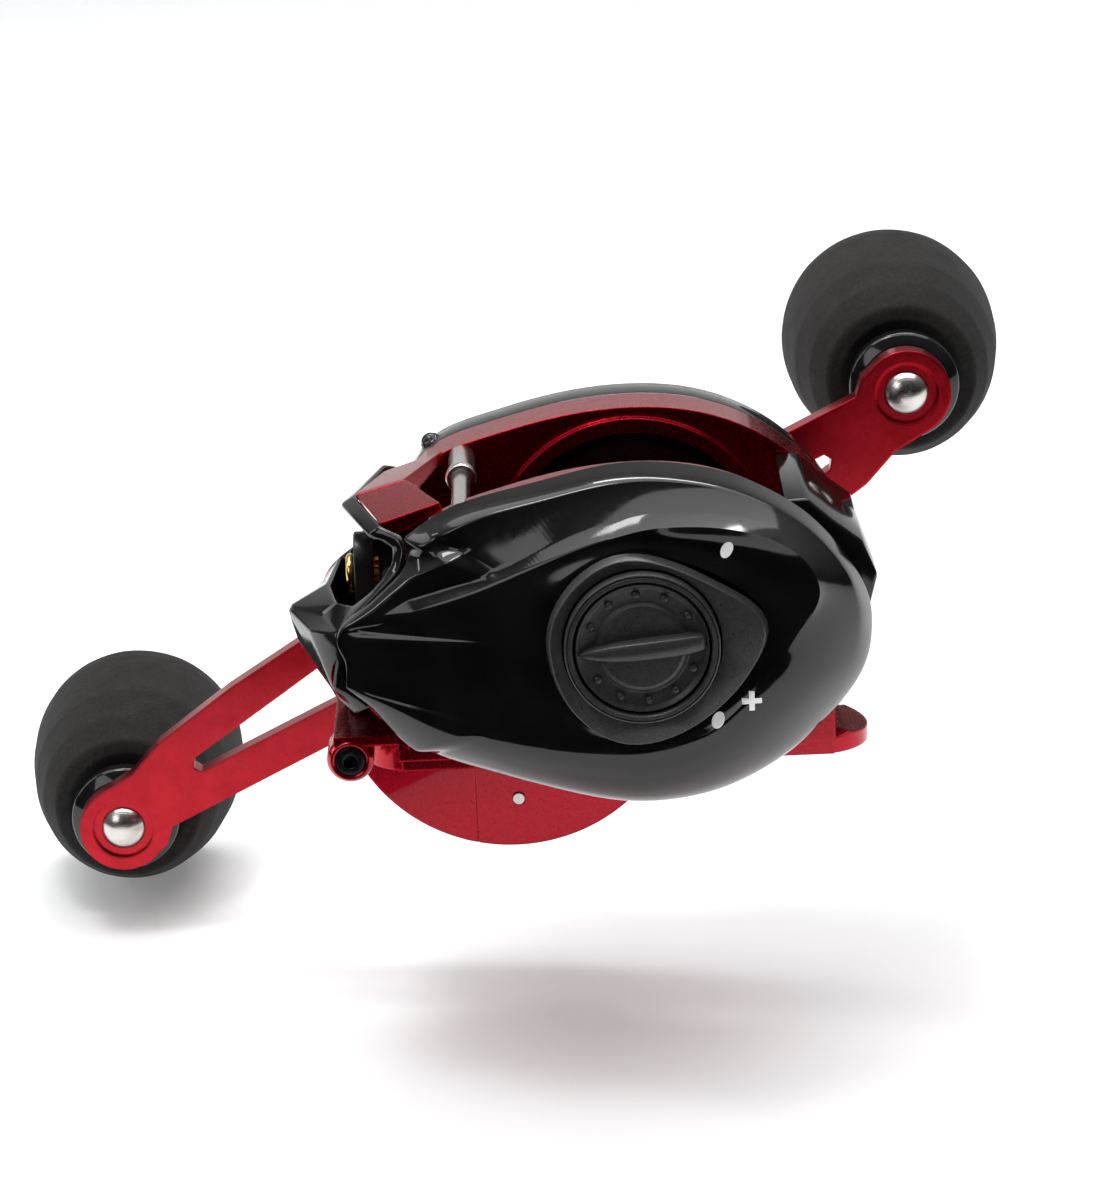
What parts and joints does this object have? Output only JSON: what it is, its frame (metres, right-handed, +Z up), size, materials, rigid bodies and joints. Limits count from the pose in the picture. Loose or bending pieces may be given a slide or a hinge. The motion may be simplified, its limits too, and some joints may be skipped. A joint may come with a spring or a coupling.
{
  "type": "baitcasting reel",
  "caption": "Low-profile multiplying fishing reel with a forked double handle, foam knobs, brake dial on the palm plate, geared level wind and a flat foot.",
  "frame": {"origin": "on the flat underside of the reel foot, directly below the spool axis", "axes": "+Z up out of the foot, -X the front where the line leaves, +Y the handle side, the spool axis along Y"},
  "size_m": [0.1476, 0.1149, 0.0929],
  "materials": {
    "frame_red": "candy red metallic lacquer, gloss",
    "handle_red": "bright red anodised aluminium, satin gloss",
    "gloss_black": "deep gloss black",
    "cover_black": "gloss black",
    "dial_black": "fine spark-eroded texture, matt",
    "eva_foam": "closed-cell foam, matt",
    "collar_black": "gloss black",
    "nickel": "nickel plated, lightly brushed",
    "steel": "ground stainless steel",
    "bearing_steel": "polished bearing steel",
    "black_steel": "black oxide",
    "gold_ring": "gold titanium nitride, polished",
    "spool_black": "black anodised, bright turned edge",
    "inductor": "turned aluminium",
    "gear_brass": "machined brass",
    "cog_nylon": "natural nylon",
    "drag_carbon": "woven carbon and steel washers",
    "carriage_black": "satin black",
    "worm_steel": "hardened steel",
    "mark_white": "white enamel"
  },
  "bodies": {
    "frame": {"main_frame": "frame_red", "gear_housing": "frame_red", "reel_foot": "frame_red", "foot_screws": "black_steel", "lug_screw": "black_steel", "housing_pin": "nickel", "front_cover": "gloss_black", "gear_side_plate": "cover_black", "side_plate_screws": "black_steel", "yoke_posts": "steel", "anti_reverse_dog": "steel", "anti_reverse_bearing": "bearing_steel", "drive_shaft_bearing": "bearing_steel", "spool_bearing_handle_side": "bearing_steel", "spool_bearing_cover": "bearing_steel", "guide_rod": "nickel", "guide_rod_sleeve": "nickel", "level_wind_rod": "steel", "worm_bushings": "cog_nylon"},
    "palm_side": {"palm_plate": "gloss_black", "dial_surround": "dial_black", "setting_marks": "mark_white", "brake_housing": "carriage_black", "spool_bearing_palm_side": "bearing_steel"},
    "brake_dial": {"brake_dial": "dial_black", "magnet_ring": "steel"},
    "spool": {"spool": "spool_black", "spool_shaft": "steel", "drive_pin": "steel", "brake_rotor": "inductor"},
    "pinion": {"pinion_gear": "gear_brass"},
    "yoke": {"clutch_yoke": "cog_nylon"},
    "thumb_bar": {"thumb_bar": "gloss_black", "clutch_cam": "steel"},
    "worm": {"worm_shaft": "worm_steel", "worm_gear": "cog_nylon"},
    "line_guide": {"carriage": "carriage_black", "line_guide_ring": "gold_ring", "level_wind_pawl": "gear_brass", "pawl_cap": "carriage_black"},
    "handle": {"drive_shaft": "steel", "worm_drive_cog": "cog_nylon", "ratchet_wheel": "steel", "drive_gear": "gear_brass", "drag_washers": "drag_carbon", "clutch_sleeve": "bearing_steel", "handle_arm": "handle_red", "handle_nut": "nickel", "nut_retainer": "handle_red", "knob_posts": "nickel", "drag_springs": "steel"},
    "star_drag": {"star_drag": "handle_red"},
    "cast_control": {"cast_control_cap": "collar_black"},
    "front_knob": {"knob_collar_front": "collar_black", "knob_foam_front": "eva_foam", "knob_bushes_front": "nickel"},
    "rear_knob": {"knob_collar_rear": "collar_black", "knob_foam_rear": "eva_foam", "knob_bushes_rear": "nickel"}
  },
  "joints": [
    {"name": "handle_spin", "type": "hinge", "parent": "frame", "child": "handle", "pos_m": [-0.0176, 0, 0.00463], "axis": [0, 1, 0], "continuous": true},
    {"name": "spool_spin", "type": "hinge", "parent": "frame", "child": "spool", "pos_m": [0, 0, 0.0235], "axis": [0, 1, 0], "continuous": true},
    {"name": "thumb_bar_press", "type": "slide", "parent": "frame", "child": "thumb_bar", "axis": [0, 0, -1], "range_m": [0, 0.004], "stiffness_N_per_m": 60, "springref_m": -0.003},
    {"name": "yoke_shift", "type": "slide", "parent": "frame", "child": "yoke", "axis": [0, 1, 0], "range_m": [0, 0.0015]},
    {"name": "pinion_spin", "type": "hinge", "parent": "yoke", "child": "pinion", "pos_m": [0, 0, 0.0235], "axis": [0, 1, 0], "continuous": true},
    {"name": "worm_spin", "type": "hinge", "parent": "frame", "child": "worm", "pos_m": [-0.03646, 0, 0.01642], "axis": [0, 1, 0], "continuous": true},
    {"name": "line_guide_travel", "type": "slide", "parent": "frame", "child": "line_guide", "axis": [0, 1, 0], "range_m": [-0.0075, 0.0075]},
    {"name": "star_drag_turn", "type": "hinge", "parent": "handle", "child": "star_drag", "pos_m": [-0.0176, 0, 0.00463], "axis": [0, 1, 0], "range_deg": [-270, 270]},
    {"name": "front_knob_spin", "type": "hinge", "parent": "handle", "child": "front_knob", "pos_m": [-0.0755, 0, -0.0259], "axis": [0, 1, 0], "continuous": true},
    {"name": "rear_knob_spin", "type": "hinge", "parent": "handle", "child": "rear_knob", "pos_m": [0.04031, 0, 0.03516], "axis": [0, 1, 0], "continuous": true},
    {"name": "cast_control_turn", "type": "hinge", "parent": "frame", "child": "cast_control", "pos_m": [0, 0, 0.0235], "axis": [0, 1, 0], "range_deg": [-180, 180]},
    {"name": "palm_plate_release", "type": "slide", "parent": "frame", "child": "palm_side", "axis": [0, -1, 0], "range_m": [0, 0.03]},
    {"name": "brake_dial_turn", "type": "hinge", "parent": "palm_side", "child": "brake_dial", "pos_m": [0, 0, 0.0235], "axis": [0, 1, 0], "range_deg": [-44, 48]}
  ],
  "couplings": [
    {"joint": "pinion_spin", "follows": "handle_spin", "ratio": -5.6154},
    {"joint": "spool_spin", "follows": "handle_spin", "ratio": -5.6154},
    {"joint": "worm_spin", "follows": "handle_spin", "ratio": -3.45},
    {"joint": "yoke_shift", "follows": "thumb_bar_press", "ratio": 0.375}
  ]
}
